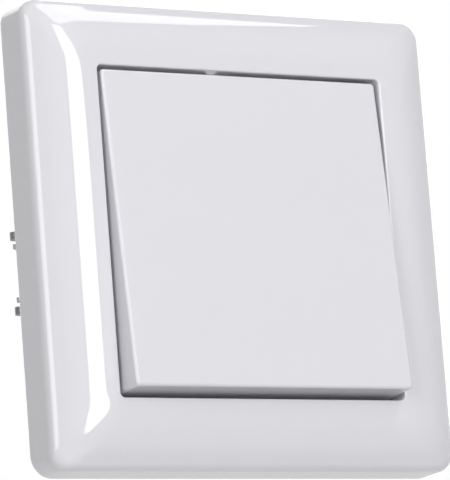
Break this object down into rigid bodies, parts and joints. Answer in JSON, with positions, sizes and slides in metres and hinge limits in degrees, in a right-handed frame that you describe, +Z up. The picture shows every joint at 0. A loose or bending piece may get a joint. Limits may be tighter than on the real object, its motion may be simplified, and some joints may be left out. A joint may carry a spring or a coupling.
{
  "type": "rocker light switch",
  "caption": "Flush light switch: square rounded cover frame, large tilting rocker, round insert with steel support ring, spreader claws and push-in terminals.",
  "frame": {"origin": "middle of the wall plane, on the back of the support ring", "axes": "+X right and +Z up as seen from the front, +Y into the wall"},
  "size_m": [0.0804, 0.0454, 0.0804],
  "materials": {
    "cover_plastic": "smooth glossy white moulding",
    "inner_plastic": "fine matt moulding",
    "base_plastic": "matt thermoset moulding",
    "plunger_plastic": "low friction moulding",
    "pusher_plastic": "matt moulding",
    "spring_steel": "bright spring steel",
    "copper": "bright copper",
    "brass": "stamped brass",
    "contact_silver": "polished contact silver",
    "zinc_steel": "zinc plated stamped steel",
    "claw_steel": "zinc plated folded steel",
    "screw_steel": "zinc plated screw",
    "rivet_steel": "plated rivet"
  },
  "bodies": {
    "insert": {"support_ring": "zinc_steel", "base_housing": "base_plastic", "housing_cover": "inner_plastic", "cover_frame": "cover_plastic", "common_contact": "brass", "fixed_contact_upper": "brass", "fixed_tip_upper": "contact_silver", "terminal_spring_upper_left": "spring_steel", "terminal_spring_upper_right": "spring_steel", "fixed_contact_lower": "brass", "fixed_tip_lower": "contact_silver", "terminal_spring_lower_left": "spring_steel", "terminal_spring_lower_right": "spring_steel", "rivet_1": "rivet_steel", "rivet_2": "rivet_steel", "rivet_3": "rivet_steel", "rivet_4": "rivet_steel"},
    "rocker": {"rocker": "cover_plastic", "rocker_yoke": "inner_plastic", "plunger_spring": "spring_steel"},
    "plunger": {"plunger": "plunger_plastic"},
    "bridge": {"contact_bridge": "copper", "bridge_tip_upper": "contact_silver", "bridge_tip_lower": "contact_silver"},
    "pusher_upper_left": {"terminal_pusher_upper_left": "pusher_plastic"},
    "pusher_upper_right": {"terminal_pusher_upper_right": "pusher_plastic"},
    "pusher_lower_left": {"terminal_pusher_lower_left": "pusher_plastic"},
    "pusher_lower_right": {"terminal_pusher_lower_right": "pusher_plastic"},
    "claw_left": {"claw_left": "claw_steel"},
    "claw_screw_left": {"claw_screw_left": "screw_steel"},
    "claw_right": {"claw_right": "claw_steel"},
    "claw_screw_right": {"claw_screw_right": "screw_steel"}
  },
  "joints": [
    {"name": "rocker_tilt", "type": "hinge", "parent": "insert", "child": "rocker", "pos_m": [0, -0.0063, 0], "axis": [1, 0, 0], "range_deg": [0, 9]},
    {"name": "bridge_tilt", "type": "hinge", "parent": "insert", "child": "bridge", "pos_m": [0, 0.0112, 0], "axis": [1, 0, 0], "range_deg": [-12, 0]},
    {"name": "plunger_slide", "type": "slide", "parent": "rocker", "child": "plunger", "axis": [0, -0.9969, 0.0785], "range_m": [0, 0.0009], "stiffness_N_per_m": 500, "deforming": ["plunger_spring"]},
    {"name": "pusher_upper_left_slide", "type": "slide", "parent": "insert", "child": "pusher_upper_left", "axis": [0, -1, 0], "range_m": [0, 0.0012], "stiffness_N_per_m": 800},
    {"name": "pusher_upper_right_slide", "type": "slide", "parent": "insert", "child": "pusher_upper_right", "axis": [0, -1, 0], "range_m": [0, 0.0012], "stiffness_N_per_m": 800},
    {"name": "pusher_lower_left_slide", "type": "slide", "parent": "insert", "child": "pusher_lower_left", "axis": [0, -1, 0], "range_m": [0, 0.0012], "stiffness_N_per_m": 800},
    {"name": "pusher_lower_right_slide", "type": "slide", "parent": "insert", "child": "pusher_lower_right", "axis": [0, -1, 0], "range_m": [0, 0.0012], "stiffness_N_per_m": 800},
    {"name": "claw_screw_left_turn", "type": "hinge", "parent": "insert", "child": "claw_screw_left", "pos_m": [-0.0224, 0, 0], "axis": [0, 1, 0], "range_deg": [0, 475]},
    {"name": "claw_left_swing", "type": "hinge", "parent": "insert", "child": "claw_left", "pos_m": [-0.01985, 0.00265, 0], "axis": [0, 0, 1], "range_deg": [0, 15]},
    {"name": "claw_screw_right_turn", "type": "hinge", "parent": "insert", "child": "claw_screw_right", "pos_m": [0.0224, 0, 0], "axis": [0, 1, 0], "range_deg": [0, 475]},
    {"name": "claw_right_swing", "type": "hinge", "parent": "insert", "child": "claw_right", "pos_m": [0.01985, 0.00265, 0], "axis": [0, 0, -1], "range_deg": [0, 15]}
  ],
  "couplings": [
    {"joint": "bridge_tilt", "follows": "rocker_tilt", "ratio": -1.3333},
    {"joint": "claw_left_swing", "follows": "claw_screw_left_turn", "ratio": 0.031579},
    {"joint": "claw_right_swing", "follows": "claw_screw_right_turn", "ratio": 0.031579}
  ]
}
